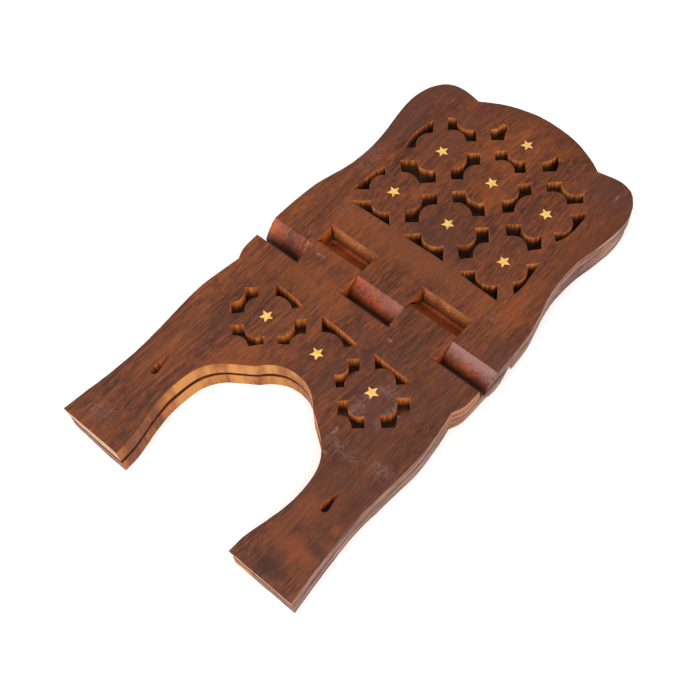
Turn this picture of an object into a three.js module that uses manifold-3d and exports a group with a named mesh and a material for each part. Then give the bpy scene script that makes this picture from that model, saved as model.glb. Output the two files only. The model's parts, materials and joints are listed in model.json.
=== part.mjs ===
// A folding book stand carved from one plank, shown folded flat.
//
// The plank is sawn in two through its thickness, above and below a row of wooden knuckles. Each
// leaf runs from an upper panel in one layer, through its knuckles, to a pair of legs in the other
// layer, so the leaves cross like an X when the stand is opened. Nothing else holds the leaves
// together: there is no pin. Brass stars are let into both outer faces.
//
// Frame: X across the stand, +Y towards the crown, +Z up. The stand lies on Z = 0, and the origin
// is at the middle of its underside. Millimetres.

import * as THREE from 'three';
import { mergeVertices } from 'three/addons/utils/BufferGeometryUtils.js';
import Module from 'manifold-3d';

// ---------------------------------------------------------------- driving dimensions

const THICKNESS = 20; // of the folded stand
const KERF = 1.4; // saw cut between the two layers
const CROWN_REACH = 150; // hinge axis to the top of the crown
const FOOT_REACH = 155; // hinge axis to the ends of the legs
const HALF_WIDTH = 76; // at the hinge
const LOWER_NARROWING = 0.988; // width of the lower layer's outline: the saw leaned inwards

const FINGER_EDGES = [16.1, 47.6]; // distance of the knuckle joints from the centre line
const FINGER_GAP = 0.4; // between neighbouring knuckles
const WINDOW_REACH = 15.4; // hinge axis to either end of the windows that the knuckles turn in
const WINDOW_DRAFT = 1.5; // how far the windows' ends lean in, from outer face to middle plane
const NICK = 1.6; // saw nick at each corner of a window

const DROP = { x: 58, tip: -99.8, centre: -110.4, radius: 2.3 }; // teardrop hole in each leg

const STAR_POINTS = 5;
const STAR_RADIUS = 4; // centre to tip
const STAR_WAIST = 0.46; // inner corners, as a share of the radius
const STAR_DEPTH = 1.6;
const STAR_SINK = 0.1; // below the face of the wood
const INLAY_GAP = 0.3; // round and under each star

// Straight pieces that stand in for each curve.
const KNUCKLE_SIDES = 48;
const BOW_SIDES = 12;
const DROP_STEPS = 12;
const CROWN_STEPS = 12;
const PANEL_SIDE_STEPS = 40;
const SHOULDER_STEPS = 6;
const LEG_SIDE_STEPS = 24;
const LEG_INSIDE_STEPS = 28;
const ARCH_STEPS = 8;

// ---------------------------------------------------------------- hand-drawn curves
// Points of the right-hand half, measured from the hinge axis. The left half mirrors them.

const PANEL_SIDE = [
  [HALF_WIDTH, 12], [75, 28], [72.2, 41], [69.4, 52.5], [68, 66], [68.9, 81], [71.5, 96],
  [73.4, 110], [72.5, 122], [69, 130.8], [63.3, 136.8], [56, 138.9], [49, 138.4], [41.5, 137],
];
const CROWN_NOTCH = [41.5, 137];
const SHOULDER_SIDE = [[HALF_WIDTH, -18], [75.4, -27], [72.7, -33.3]];
const LEG_SIDE = [
  [72.7, -33.3], [74.4, -44], [75.8, -57], [75.6, -70], [74.4, -86], [73.3, -101],
  [73.3, -113], [74.3, -128], [75.7, -141], [77.1, -FOOT_REACH],
];
const LEG_INSIDE = [
  [38.2, -FOOT_REACH], [38.5, -146.5], [40, -138.5], [42.2, -129], [43.7, -118.5], [43.6, -108],
  [42.1, -98.5], [38.8, -91.5], [33.4, -85.6], [26.5, -80.6], [19.6, -76],
];
const ARCH_CROWN = [[19.6, -76], [14.8, -71.2], [7.6, -67.2], [0, -66.1]];

// The fretwork's cut-outs, one by one, since they were sawn by hand and no two are alike. Each ring
// leaves the four-lobed flowers and the diagonal bars between them. A point marked BOW is the middle
// of a round bow from the corner before it to the corner after it.
const BOW = 1;
const PANEL_CUTOUTS = [
  // Above the upper flowers.
  [[-47.8, 116], [-43, 118.4], [-36, 114.7, BOW], [-29.8, 119.2], [-24, 112.5], [-28.7, 108.6],
    [-34.5, 112, BOW], [-42, 108.1]],
  [[-11.5, 112.5], [-6.3, 118], [0, 114.3, BOW], [5.8, 118.2], [11.7, 111.7], [6.3, 107.2],
    [0.5, 111.5, BOW], [-7, 107.2]],
  [[24.1, 112.5], [30.4, 118.7], [36.5, 114.3, BOW], [44.2, 119.6], [48.5, 114.8], [41.5, 107.5],
    [35.7, 111.6, BOW], [28.4, 107.6]],
  // Beside the upper flowers.
  [[-52.7, 109.2], [-47.3, 101.3], [-51.4, 95, BOW], [-48.1, 87], [-52.8, 82.1], [-55.1, 89.5],
    [-55.4, 96], [-54.7, 103]],
  [[-17.2, 106.5], [-11.8, 99.6], [-16.1, 93.5, BOW], [-12.3, 86], [-18.1, 81.4], [-23.2, 87.2],
    [-19.4, 93, BOW], [-23.5, 101.2]],
  [[18, 107.1], [23.2, 101], [19.5, 93.5, BOW], [23, 85.5], [18, 80.5], [12.5, 87.2],
    [17, 93, BOW], [12.3, 101.5]],
  [[53.4, 109.8], [54.5, 105], [54.8, 96], [53.8, 88], [51.5, 83], [47.3, 87.7],
    [52.6, 94, BOW], [47, 102.5]],
  // Between the two rows of flowers.
  [[-49.1, 73.8], [-41.3, 79.8], [-36, 77, BOW], [-29, 81.2], [-23.4, 74.5], [-30, 67.6],
    [-36.5, 70.1, BOW], [-43.1, 67.9]],
  [[-12.5, 74.7], [-6.8, 79.8], [-0.2, 76.5, BOW], [6.2, 80.2], [12.7, 73.4], [6.4, 68.4],
    [0, 72, BOW], [-7.3, 69.1]],
  [[23.9, 75.1], [30.7, 80.7], [36.8, 76.3, BOW], [43.6, 81.5], [48.6, 74.8], [43.3, 68.6],
    [36.6, 73.3, BOW], [29.2, 69.4]],
  // Beside the lower flowers.
  [[-52.8, 65.5], [-48.4, 61], [-52.2, 54.5, BOW], [-48.7, 47.1], [-56.6, 41.1], [-56.1, 49],
    [-54.7, 57]],
  [[-18.1, 69.2], [-12.8, 62.6], [-17.4, 55.3, BOW], [-12.5, 47.6], [-19.2, 42.1], [-24.1, 48.2],
    [-20.4, 55, BOW], [-23.9, 62.5]],
  [[18.2, 68.1], [24.6, 60.6], [20.8, 54.3, BOW], [23.9, 47.2], [18.7, 41.6], [11.9, 48],
    [17.4, 54.7, BOW], [12.6, 62.7]],
  [[53, 66.2], [54.3, 59], [55.1, 50], [55, 44], [54.2, 41.8], [49.7, 48], [52.6, 54, BOW],
    [48.2, 60.8]],
  // Under the lower flowers, on a sawn sill.
  [[-51.3, 34.5], [-42.7, 41.6], [-35.8, 38.1, BOW], [-30.2, 42], [-24, 34.8]],
  [[-14.8, 34.5], [-7.5, 42], [0.2, 37.9, BOW], [6.8, 43], [13.3, 34.9]],
  [[23.3, 34.4], [30, 41.6], [36.8, 36.9, BOW], [44.5, 41.6], [50.4, 32.9]],
  // Beside the top star, drawn out to a point.
  [[-18.1, 118], [-12.6, 122.7], [-15.2, 127.2], [-16, 131], [-18.2, 133], [-20, 131.4],
    [-20.6, 127], [-23.3, 123.9]],
  [[18, 117.8], [23.5, 122.9], [22.1, 127.2], [22.8, 131.4], [20.4, 130.4], [17.6, 133.5],
    [17.2, 130], [16.4, 126.4], [14, 122.7]],
];
const LEG_CUTOUTS = [
  // Over the flowers, under a sawn lintel.
  [[-46, -32.7], [-40, -32.3], [-30, -33], [-25.5, -34.1], [-29.2, -38.5], [-34.8, -36.3, BOW],
    [-41.9, -39.1]],
  [[-13.5, -32.2], [-5, -31.8], [5.5, -32.5], [11.8, -33.4], [7, -39.2], [-0.7, -36, BOW],
    [-7.6, -39.7]],
  [[21.9, -32], [28, -32.3], [43, -32.8], [47.2, -33.4], [41.4, -38.9], [34.8, -34.4, BOW],
    [27.9, -38.5]],
  // Beside the flowers.
  [[-51.3, -39.8], [-47.6, -44.5], [-49.7, -50.5, BOW], [-46.5, -56], [-51.8, -62],
    [-56.5, -56.5], [-53.9, -51, BOW], [-57.2, -45]],
  [[-18.8, -38.2], [-12.8, -45.3], [-16.6, -50.8, BOW], [-15, -55.5], [-20, -58.8],
    [-23.6, -56], [-19.8, -50.5, BOW], [-23.5, -43.3]],
  [[18, -38.8], [22.4, -44.1], [19.9, -50, BOW], [22.7, -56], [19.5, -59], [14.4, -54.1],
    [17.5, -49.5, BOW], [13, -43.6]],
  [[52, -39.8], [56.1, -44.9], [54, -50.5, BOW], [57.3, -56.4], [51.5, -61.6], [46.4, -56.8],
    [50.8, -51, BOW], [46.3, -44.5]],
  // Under the outer flowers.
  [[-46.2, -66.5], [-41.5, -61.8], [-35.5, -65.1, BOW], [-28.8, -60.3], [-25.6, -63.6],
    [-31, -69.9], [-36.1, -68, BOW], [-42.2, -70.7]],
  [[25.4, -64.3], [29.4, -60.5], [35.3, -65.2, BOW], [41.1, -62], [45.1, -67], [40.4, -71.1],
    [35.2, -68.2, BOW], [29.8, -70.4]],
];

// [x, y, turn in degrees]: stars set by hand, close to the flowers' centres.
const PANEL_STARS = [
  [-37.2, 54.3, -6], [-0.3, 55.9, -6], [37.9, 55, -11], [-34.6, 93.9, -17], [1, 93.4, -13],
  [36.8, 94.7, -12], [-0.1, 127.8, -15],
];
const LEG_STARS = [[-36, -50.5, -5], [-0.7, -50.5, -6], [35.2, -49.8, -8]];

// ---------------------------------------------------------------- solids

const wasm = await Module();
wasm.setup();

const HALF_THICKNESS = THICKNESS / 2;
const LAYER = (THICKNESS - KERF) / 2;
const OVERCUT = 1; // how far a cutting tool runs past what it cuts
const SAME_POINT = 1e-4; // corners nearer than this are one

function toSolid(geometry) {
  geometry.deleteAttribute('normal');
  geometry.deleteAttribute('uv');
  const merged = mergeVertices(geometry, SAME_POINT);
  const vertProperties = new Float32Array(merged.attributes.position.array);
  const triVerts = new Uint32Array(merged.index.array);
  return new wasm.Manifold(new wasm.Mesh({ numProp: 3, vertProperties, triVerts }));
}

function toGeometry(solid) {
  const { vertProperties, triVerts } = solid.getMesh();
  const geometry = new THREE.BufferGeometry();
  geometry.setAttribute('position', new THREE.BufferAttribute(vertProperties, 3));
  geometry.setIndex(new THREE.BufferAttribute(triVerts, 1));
  geometry.computeVertexNormals();
  return geometry;
}

function toVectors(points) {
  return points.map(([x, y]) => new THREE.Vector2(x, y));
}

// An upright prism over a closed outline, from one height to another.
function prism(outline, low, high) {
  const shape = new THREE.Shape(outline);
  const geometry = new THREE.ExtrudeGeometry(shape, { depth: high - low, bevelEnabled: false });
  geometry.translate(0, 0, low);
  return toSolid(geometry);
}

function cutter(outline) {
  return prism(outline, -HALF_THICKNESS - OVERCUT, HALF_THICKNESS + OVERCUT);
}

function union(solids) {
  return solids.reduce((whole, solid) => whole.add(solid));
}

function smooth(points, steps) {
  return new THREE.SplineCurve(toVectors(points)).getSpacedPoints(steps);
}

// Closes the right-hand half of an outline, which ends on the centre line, with its mirror image.
function mirrored(rightHalf) {
  const left = rightHalf
    .filter((point) => point.x > 0)
    .map((point) => new THREE.Vector2(-point.x, point.y))
    .reverse();
  return [...rightHalf, ...left];
}

// ---------------------------------------------------------------- outlines of the two plates

// The crown is one round arc from notch to notch.
function crownArc() {
  const [notchX, notchY] = CROWN_NOTCH;
  const rise = CROWN_REACH - notchY;
  const radius = (notchX ** 2 + rise ** 2) / (2 * rise);
  const halfSweep = Math.asin(notchX / radius);
  const centreY = CROWN_REACH - radius;
  const arc = new THREE.EllipseCurve(
    0, centreY, radius, radius, Math.PI / 2 - halfSweep, Math.PI / 2, false);
  return arc.getSpacedPoints(CROWN_STEPS);
}

function panelOutline() {
  const base = new THREE.Vector2(HALF_WIDTH, 0);
  return mirrored([base, ...smooth(PANEL_SIDE, PANEL_SIDE_STEPS), ...crownArc().slice(1)]);
}

function legOutline() {
  const base = new THREE.Vector2(HALF_WIDTH, 0);
  const shoulder = smooth(SHOULDER_SIDE, SHOULDER_STEPS);
  const outside = smooth(LEG_SIDE, LEG_SIDE_STEPS).slice(1);
  const inside = smooth(LEG_INSIDE, LEG_INSIDE_STEPS);
  const arch = smooth(ARCH_CROWN, ARCH_STEPS).slice(1);
  return mirrored([base, ...shoulder, ...outside, ...inside, ...arch]);
}

// ---------------------------------------------------------------- fretwork

// The round bow from one corner through a middle point to another, without its two ends.
function bow(start, middle, end) {
  const circle = new THREE.Vector2();
  const [ax, ay] = [start.x - middle.x, start.y - middle.y];
  const [bx, by] = [end.x - middle.x, end.y - middle.y];
  const cross = 2 * (ax * by - ay * bx);
  const [aa, bb] = [ax * ax + ay * ay, bx * bx + by * by];
  circle.set((by * aa - ay * bb) / cross, (ax * bb - bx * aa) / cross).add(middle);
  const radius = circle.distanceTo(middle);
  const angleOf = (point) => Math.atan2(point.y - circle.y, point.x - circle.x);
  const from = angleOf(start);
  const clockwise = cross > 0;
  const turn = 2 * Math.PI;
  const forward = ((angleOf(end) - from) % turn + turn) % turn;
  const sweep = clockwise ? forward - turn : forward;
  const points = [];
  for (let side = 1; side < BOW_SIDES; side += 1) {
    const angle = from + sweep * side / BOW_SIDES;
    points.push(new THREE.Vector2(circle.x + radius * Math.cos(angle), circle.y + radius * Math.sin(angle)));
  }
  return points;
}

function cutout(ring) {
  const corners = toVectors(ring);
  const outline = corners.flatMap((corner, index) => {
    if (ring[index][2] !== BOW) return [corner];
    return bow(corners[index - 1], corner, corners[(index + 1) % corners.length]);
  });
  return cutter(outline.reverse());
}

// Round below, drawn out to a point above.
function teardrop(x) {
  const { tip, centre, radius } = DROP;
  const lean = Math.acos(radius / (tip - centre));
  const round = new THREE.EllipseCurve(
    x, centre, radius, radius, Math.PI / 2 + lean, Math.PI / 2 - lean, false);
  return cutter([new THREE.Vector2(x, tip), ...round.getSpacedPoints(DROP_STEPS)]);
}

function fretwork() {
  const cutouts = [...PANEL_CUTOUTS, ...LEG_CUTOUTS].map(cutout);
  return union([...cutouts, teardrop(-DROP.x), teardrop(DROP.x)]);
}

// ---------------------------------------------------------------- hinge

// One roller across the whole width, about the X axis. The windows cut it into knuckles.
function roller() {
  const round = new THREE.CylinderGeometry(
    HALF_THICKNESS, HALF_THICKNESS, 2 * HALF_WIDTH, KNUCKLE_SIDES);
  round.rotateZ(Math.PI / 2);
  return toSolid(round);
}

// The opening of a window, drawn in the plane of Y and Z. Its ends lean in to the middle plane.
function windowOpening(fromX, toX) {
  const slope = WINDOW_DRAFT / HALF_THICKNESS;
  const end = (z) => WINDOW_REACH - WINDOW_DRAFT + slope * Math.abs(z);
  const top = HALF_THICKNESS + OVERCUT;
  const profile = [
    [-end(top), -top], [end(top), -top], [end(0), 0], [end(top), top], [-end(top), top], [-end(0), 0],
  ];
  const geometry = new THREE.ExtrudeGeometry(
    new THREE.Shape(toVectors(profile)), { depth: toX - fromX, bevelEnabled: false });
  geometry.rotateX(Math.PI / 2);
  geometry.rotateZ(Math.PI / 2);
  geometry.translate(fromX, 0, 0);
  return toSolid(geometry);
}

// A window for the other leaf's knuckle, with a saw nick at each corner that ends in wood.
function knuckleWindow(fromX, toX) {
  const opening = windowOpening(fromX, toX);
  const nicks = [[fromX, -1], [toX, 1]]
    .filter(([x]) => Math.abs(x) < HALF_WIDTH)
    .flatMap(([x, outward]) => [-1, 1].map((end) => {
      const y = end * (WINDOW_REACH - WINDOW_DRAFT / 4);
      const corner = [x - outward * OVERCUT, y];
      const alongEdge = [x + outward * NICK, y];
      const inward = [x - outward * OVERCUT, y - end * (NICK + OVERCUT)];
      const turn = outward * end > 0 ? [corner, alongEdge, inward] : [corner, inward, alongEdge];
      return cutter(toVectors(turn).reverse());
    }));
  return union([opening, ...nicks]);
}

// ---------------------------------------------------------------- leaves and inlays

function starOutline(x, y, turn, radius) {
  const points = [];
  for (let corner = 0; corner < 2 * STAR_POINTS; corner += 1) {
    const reach = corner % 2 === 0 ? radius : radius * STAR_WAIST;
    const angle = Math.PI / 2 + THREE.MathUtils.degToRad(turn) + corner * Math.PI / STAR_POINTS;
    points.push(new THREE.Vector2(x + reach * Math.cos(angle), y + reach * Math.sin(angle)));
  }
  return points;
}

// A star or its pocket, between two depths below the outer face on one side (+1 top, -1 bottom).
function starSolid([x, y, turn], side, growth, shallow, deep) {
  const levels = [side * (HALF_THICKNESS - shallow), side * (HALF_THICKNESS - deep)];
  const outline = starOutline(x, y, turn, STAR_RADIUS + growth);
  return prism(outline, Math.min(...levels), Math.max(...levels));
}

// One layer of a leaf, on the upper (+1) or lower (-1) side of the saw cut.
function plate(outline, side) {
  const inner = side * (HALF_THICKNESS - LAYER);
  const outer = side * HALF_THICKNESS;
  const narrowing = side > 0 ? 1 : LOWER_NARROWING;
  const sawn = outline.map(({ x, y }) => new THREE.Vector2(x * narrowing, y));
  return prism(sawn, Math.min(inner, outer), Math.max(inner, outer));
}

function leafSolid(panelSide, windows) {
  const pocket = (star, side) => (
    starSolid(star, side, INLAY_GAP, -OVERCUT, STAR_DEPTH + INLAY_GAP));
  const pockets = [
    ...PANEL_STARS.map((star) => pocket(star, panelSide)),
    ...LEG_STARS.map((star) => pocket(star, -panelSide)),
  ];
  const wood = union([plate(panelOutline(), panelSide), plate(legOutline(), -panelSide), roller()]);
  const cuts = union([fretwork(), ...windows, ...pockets]);
  return wood.subtract(cuts);
}

function node(name, solid, material) {
  const mesh = new THREE.Mesh(toGeometry(solid), material);
  mesh.name = name;
  return mesh;
}

// A leaf with the ten stars that are let into its outer faces.
function leaf(name, panelSide, windows, wood, brass) {
  const group = new THREE.Group();
  group.add(node(name, leafSolid(panelSide, windows), wood));
  const inlay = (star, side) => starSolid(star, side, 0, STAR_SINK, STAR_DEPTH);
  PANEL_STARS.forEach((star, index) => {
    group.add(node(`${name}_panel_star_${index + 1}`, inlay(star, panelSide), brass));
  });
  LEG_STARS.forEach((star, index) => {
    group.add(node(`${name}_leg_star_${index + 1}`, inlay(star, -panelSide), brass));
  });
  return group;
}

const wood = new THREE.MeshStandardMaterial({ color: 0x6f3d24, roughness: 0.55, metalness: 0 });
const brass = new THREE.MeshStandardMaterial({ color: 0xe2b659, roughness: 0.35, metalness: 0.9 });

const [INNER_EDGE, OUTER_EDGE] = FINGER_EDGES;
const CLEAR = FINGER_GAP / 2;
const PAST_SIDE = HALF_WIDTH + OVERCUT;
const twoKnuckleWindows = [
  knuckleWindow(-INNER_EDGE - CLEAR, INNER_EDGE + CLEAR),
  knuckleWindow(OUTER_EDGE - CLEAR, PAST_SIDE),
  knuckleWindow(-PAST_SIDE, -OUTER_EDGE + CLEAR),
];
const threeKnuckleWindows = [
  knuckleWindow(INNER_EDGE - CLEAR, OUTER_EDGE + CLEAR),
  knuckleWindow(-OUTER_EDGE - CLEAR, -INNER_EDGE + CLEAR),
];

const stand = new THREE.Group();
stand.add(leaf('three_knuckle_leaf', 1, threeKnuckleWindows, wood, brass));
stand.add(leaf('two_knuckle_leaf', -1, twoKnuckleWindows, wood, brass));
stand.position.set(0, (FOOT_REACH - CROWN_REACH) / 2, HALF_THICKNESS);

export default stand;
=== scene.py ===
"""A folding book stand carved from one plank of rosewood, with brass stars let into it.

The two wooden leaves and the stars are refined from the CAD solids. Frame: metres, +X across the
stand, +Y towards the crown, +Z up, with the stand lying on Z = 0.
"""

import json
import math

import bmesh
import bpy
import numpy as np
from mathutils import Matrix, Vector, noise
from mathutils.geometry import delaunay_2d_cdt

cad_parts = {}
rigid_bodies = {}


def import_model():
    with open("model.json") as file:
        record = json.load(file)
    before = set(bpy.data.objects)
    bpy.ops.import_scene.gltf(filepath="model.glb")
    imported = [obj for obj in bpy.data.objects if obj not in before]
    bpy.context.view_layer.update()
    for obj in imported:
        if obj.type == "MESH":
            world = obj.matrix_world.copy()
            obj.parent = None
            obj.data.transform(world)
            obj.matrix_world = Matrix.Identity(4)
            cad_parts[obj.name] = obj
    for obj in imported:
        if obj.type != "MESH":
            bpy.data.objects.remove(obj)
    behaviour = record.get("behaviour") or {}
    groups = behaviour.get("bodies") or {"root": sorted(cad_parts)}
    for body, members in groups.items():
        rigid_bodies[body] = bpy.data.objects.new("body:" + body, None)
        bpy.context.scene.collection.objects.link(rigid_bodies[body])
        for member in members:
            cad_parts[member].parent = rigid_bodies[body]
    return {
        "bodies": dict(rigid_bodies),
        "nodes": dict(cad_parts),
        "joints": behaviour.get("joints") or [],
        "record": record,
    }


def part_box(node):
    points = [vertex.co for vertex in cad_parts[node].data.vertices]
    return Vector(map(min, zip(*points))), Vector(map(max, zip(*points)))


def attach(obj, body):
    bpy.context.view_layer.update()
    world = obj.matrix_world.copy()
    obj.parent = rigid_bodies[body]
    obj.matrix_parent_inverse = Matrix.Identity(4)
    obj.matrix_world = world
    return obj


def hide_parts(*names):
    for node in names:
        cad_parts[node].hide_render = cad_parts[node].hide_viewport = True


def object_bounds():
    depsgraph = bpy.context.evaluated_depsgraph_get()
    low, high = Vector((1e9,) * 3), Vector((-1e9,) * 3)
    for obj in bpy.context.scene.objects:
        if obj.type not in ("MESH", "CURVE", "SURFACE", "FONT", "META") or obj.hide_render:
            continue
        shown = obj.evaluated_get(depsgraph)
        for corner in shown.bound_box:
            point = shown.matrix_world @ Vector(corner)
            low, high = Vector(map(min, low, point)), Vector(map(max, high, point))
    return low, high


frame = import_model()
CAD_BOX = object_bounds()

NOISE_SEED = 7  # without it, noise_vector takes its offsets from the clock
noise.seed_set(NOISE_SEED)

MM = 0.001
HINGE = Vector(frame["joints"][0]["pos_m"])
MOVING_BODY = frame["joints"][0]["child"]

# Wood
MERGE_DISTANCE = 0.002 * MM
LEVEL_TOLERANCE = 0.001 * MM  # how far a vertex may be from a level that it lies on
FACE_LEVEL = 10 * MM  # hinge axis to either outer face
EDGE_EASE = 0.35 * MM  # rounding of the outer faces' rims
EASE_MITRE = 2.2  # longest corner of a rounded rim, in roundings
UPRIGHT_WALL = 0.3  # highest normal.z of a wall whose rim is rounded
WALL_STEP = 4 * MM
WALL_ROWS = [-7.6 * MM, -5.0 * MM, -2.6 * MM, 2.6 * MM, 5.0 * MM, 7.6 * MM]
SNAP = 0.5 * MM
FACE_STEP = 5 * MM
FACE_WAVES = (0.05 * MM, 34 * MM)  # the planed faces' unevenness, amplitude and wavelength
WOBBLE = [(0.22 * MM, 14 * MM), (0.12 * MM, 5 * MM)]  # amplitude and wavelength of the hand sawing
WOBBLE_UPRIGHT = 0.15  # how much faster it changes along the outline than through the wood
WOBBLE_FREE = (17 * MM, 24 * MM)  # hinge axis to where the wobble starts, and is full
SHARP_WOOD = math.radians(50)
FIRST_SEED = 3.7  # where in the noise the first leaf's unevenness is read
SEED_STEP = 11.3  # and how far on each next leaf's

# The planed knuckles of each leaf: how far their ends reach across from the hinge axis at the
# outer face and at the kerf, and the bulge between
CHAMFERS = {
    "two_knuckle_leaf": (2.4 * MM, 12.0 * MM, 0.0),
    "three_knuckle_leaf": (0.8 * MM, 9.7 * MM, 0.55),
}
CHAMFER_LOW = -0.7 * MM  # the kerf's far side, where a chamfer ends
ROUND_REACH = (9.3 * MM, 10.15 * MM)  # distance from the axis of the CAD's round knuckles

# Feet cut out of square: how far their lower edges lie back, at x. In mm from the hinge
FEET = (-146, -155)  # where the slant starts, and is full
UPPER_SLANT = ([-80, -50, 45, 78], [0.9, 0.1, 1.3, 1.3])
LOWER_SLANT = ([-80, -50, 45, 78], [1.2, 0.1, 1.5, 1.5])
LAYER_TOP = 10
LAYER_DEPTH = 9.3  # outer face to the kerf

# Where each surface of the wood lies, in mm from the hinge
ROUND_BAND = (9.7, 10.1)  # distance from the axis of the faces of round knuckles
ROUND_TOP = 9.985
KNUCKLE_END = (12.5, 9.95)  # half length and half height that hold the planed knuckles
OUTER_LEVEL = 9.5
WINDOW_FLOOR = (14, 78)  # half length and half width that hold the windows' floors
WINDOW_WALLS = (17.5, 75.5)  # half length and half width that hold their walls
LEG_END = -154
PIERCED_HALF = 60  # half width of the pierced part
PIERCED_TOP = 134.8
ARCH_HALF = 50
OVER_ARCH = (-30, -75)  # the fretwork over the arch, from its near edge to the haunches
ARCH_CROWN = (22, -65)  # half width of the arch's crown, and where fretwork ends above it
LEG_DROP = (58, 4, -115, -98)  # the drop cut into each leg: centre and half width, ends

# Stars
POCKET_FIT = (4.04 / 4.3, 4.9 * MM, 2.1 * MM)  # shrink, reach and depth of a star's pocket
STAR_LIFT = 0.09 * MM
STAR_EASE = 0.12 * MM
STAR_VARIATION = 0.09
STAR_NOISE = (1.7, 7.3, 0.5)  # radius of the noise read round a star, step to the next, start
SHARP_RIM = math.radians(28)

# Light
WALLS = 0.75  # radiance of the studio's white walls
CEILING = 0.18
CEILING_FADE = (0.25, 0.55)  # height on the sphere of directions
SOFTBOXES = [  # direction, radiance, and the fall-off as cosines
    ((0.30, -0.45, 0.84), 2.0, 0.45, 0.95),
    ((-0.75, -0.45, 0.50), 1.0, 0.55, 0.95),
    ((0.85, 0.30, 0.45), 0.7, 0.55, 0.95),
]

# Floor
FLOOR_SIZE = 12.0
FLOOR_WHITE = (0.92, 0.92, 0.92, 1.0)
FLOOR_GLOW = 0.1

# Camera, solved from the outline, the star grid and the upright edges
CAMERA_AT = Vector((207.6, -234.85, 496.87)) * MM
CAMERA_AZIMUTH = math.radians(44.646)
CAMERA_ELEVATION = math.radians(59.587)
CAMERA_ROLL = math.radians(-4.22)
CAMERA_LENS = 55.92
SENSOR = 36.0
CLIP = (0.01, 50.0)


# ---------------------------------------------------------------- colours and node helpers


def srgb(red, green, blue):
    """A colour given as 0 to 255 in sRGB, as a linear RGBA."""
    linear = []
    for value in (red, green, blue):
        share = value / 255
        if share <= 0.04045:
            linear.append(share / 12.92)
        else:
            linear.append(((share + 0.055) / 1.055) ** 2.4)
    return (*linear, 1.0)


class Nodes:
    """A short way to write a material's node tree."""

    def __init__(self, name):
        self.material = bpy.data.materials.new(name)
        self.material.use_nodes = True
        self.tree = self.material.node_tree
        self.shader = self.tree.nodes["Principled BSDF"]
        self.place = self.node("ShaderNodeTexCoord").outputs["Object"]

    def node(self, kind, **settings):
        made = self.tree.nodes.new(kind)
        for key, value in settings.items():
            setattr(made, key, value)
        return made

    def feed(self, socket, value):
        if isinstance(value, bpy.types.NodeSocket):
            self.tree.links.new(value, socket)
        else:
            socket.default_value = value

    def math(self, operation, first, second):
        made = self.node("ShaderNodeMath", operation=operation)
        self.feed(made.inputs[0], first)
        self.feed(made.inputs[1], second)
        return made.outputs[0]

    def vector(self, operation, first, second):
        made = self.node("ShaderNodeVectorMath", operation=operation)
        self.feed(made.inputs[0], first)
        self.feed(made.inputs[1], second)
        return made.outputs["Vector"]

    def noise(self, place, scale, detail=2.0, roughness=0.5, output="Fac", distortion=0.0):
        made = self.node("ShaderNodeTexNoise")
        self.feed(made.inputs["Vector"], place)
        made.inputs["Scale"].default_value = scale
        made.inputs["Detail"].default_value = detail
        made.inputs["Roughness"].default_value = roughness
        made.inputs["Distortion"].default_value = distortion
        return made.outputs[output]

    def band(self, value, low, high, to_low=0.0, to_high=1.0):
        """value's stretch from low to high, smoothly onto to_low to to_high."""
        made = self.node("ShaderNodeMapRange", interpolation_type="SMOOTHSTEP")
        self.feed(made.inputs["Value"], value)
        made.inputs["From Min"].default_value = low
        made.inputs["From Max"].default_value = high
        self.feed(made.inputs["To Min"], to_low)
        self.feed(made.inputs["To Max"], to_high)
        return made.outputs["Result"]

    def ramp(self, value, stops):
        made = self.node("ShaderNodeValToRGB")
        self.feed(made.inputs["Fac"], value)
        elements = made.color_ramp.elements
        while len(elements) < len(stops):
            elements.new(0.5)
        for element, (position, colour) in zip(elements, stops):
            element.position = position
            element.color = colour
        return made.outputs["Color"]

    def mix(self, share, first, second):
        made = self.node("ShaderNodeMix", data_type="RGBA", blend_type="MIX")
        self.feed(made.inputs["Factor"], share)
        self.feed(made.inputs["A"], first)
        self.feed(made.inputs["B"], second)
        return made.outputs["Result"]

    def bump(self, height, distance, strength):
        made = self.node("ShaderNodeBump")
        self.feed(made.inputs["Height"], height)
        made.inputs["Distance"].default_value = distance
        made.inputs["Strength"].default_value = strength
        return made.outputs["Normal"]

    def stretched(self, factors, *settings, **options):
        """Noise of the place, stretched along the axes whose factor is below 1."""
        return self.noise(self.vector("MULTIPLY", self.place, factors), *settings, **options)

    def depth(self, z):
        return self.math("ABSOLUTE", z, 0.0)

    def turned(self, degrees):
        """The place, turned about the upright axis."""
        made = self.node("ShaderNodeVectorRotate", rotation_type="Z_AXIS")
        self.feed(made.inputs["Vector"], self.place)
        made.inputs["Angle"].default_value = math.radians(degrees)
        return made.outputs[0]


# ---------------------------------------------------------------- materials

DARKEST = srgb(56, 26, 12)
DARK = srgb(78, 37, 17)
MID = srgb(96, 47, 21)
LIGHT = srgb(120, 62, 27)
PURPLE = srgb(78, 42, 29)
ORANGE = srgb(128, 62, 20)
PORE = srgb(50, 23, 12)
HAZE = srgb(140, 112, 108)
SPECULAR = 0.3  # oiled, dusty wood

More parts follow.
